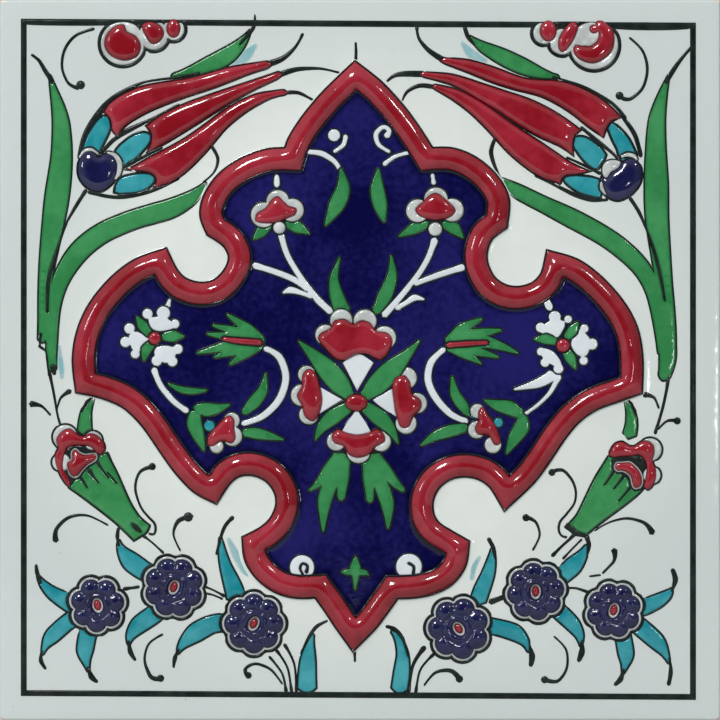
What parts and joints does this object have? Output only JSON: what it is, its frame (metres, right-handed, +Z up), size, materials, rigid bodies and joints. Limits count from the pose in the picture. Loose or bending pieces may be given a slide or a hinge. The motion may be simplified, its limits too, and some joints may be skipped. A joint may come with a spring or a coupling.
{
  "type": "hand painted wall tile",
  "caption": "Square hand painted ceramic wall tile: raised red frame round a cobalt field with flowers, raised tulips, carnations and rosettes outside it, standing upright with a flat back.",
  "frame": {"origin": "centre of the flat back face, the face bedded on the wall", "axes": "+Z up, +X to the right as seen from the front, painted face towards -Y, back face in the plane y = 0"},
  "size_m": [0.2, 0.0096, 0.2],
  "materials": {
    "clay": "fired clay, unglazed, matt",
    "white_glaze": "clear glaze over white slip, glossy",
    "black_line": "brush-drawn outline under clear glaze",
    "cobalt": "flat cobalt enamel, glossy",
    "navy_relief": "raised cobalt enamel, glossy",
    "red_relief": "raised red enamel, glossy",
    "pale_relief": "low pale slip rim, glossy",
    "white_enamel": "flat white enamel on cobalt, glossy",
    "turquoise": "flat turquoise enamel, glossy",
    "green": "flat copper green enamel, glossy"
  },
  "bodies": {
    "root": {"clay_body": "clay", "white_glaze": "white_glaze", "border_line": "black_line", "cobalt_ground": "cobalt", "red_frame": "red_relief", "frame_contour": "black_line", "left_tulip_petals": "red_relief", "left_tulip_bases": "turquoise", "left_tulip_boss": "navy_relief", "right_tulip_petals": "red_relief", "right_tulip_bases": "turquoise", "right_tulip_boss": "navy_relief", "tulip_boss_rims": "pale_relief", "tulip_lines": "black_line", "left_long_leaves": "green", "right_long_leaves": "green", "leaf_lines": "black_line", "left_cloud_lobes": "red_relief", "right_cloud_lobes": "red_relief", "cloud_rims": "pale_relief", "cloud_lines": "black_line", "turquoise_washes": "turquoise", "left_carnation_petals": "red_relief", "right_carnation_petals": "red_relief", "carnation_rims": "pale_relief", "carnation_calyxes": "green", "carnation_lines": "black_line", "left_rosettes": "navy_relief", "right_rosettes": "navy_relief", "rosette_rims": "pale_relief", "rosette_eyes": "pale_relief", "rosette_pips": "red_relief", "rosette_lines": "black_line", "turquoise_leaves": "turquoise", "tendrils": "black_line", "lobe_north": "red_relief", "lobe_south": "red_relief", "lobe_west": "red_relief", "lobe_east": "red_relief", "centre_pip": "red_relief", "medallion_rims": "pale_relief", "medallion_wedges": "white_enamel", "rosette_leaves": "green", "medallion_leaves": "green", "white_stems": "white_enamel", "left_bud": "red_relief", "right_bud": "red_relief", "bud_knots": "pale_relief", "left_side_flower": "white_enamel", "right_side_flower": "white_enamel", "side_flower_pips": "red_relief", "left_small_flower": "red_relief", "right_small_flower": "red_relief", "turquoise_dabs": "turquoise", "tuft_strips": "red_relief", "medallion_flower_outlines": "black_line", "medallion_spray_outlines": "black_line"}
  },
  "joints": []
}
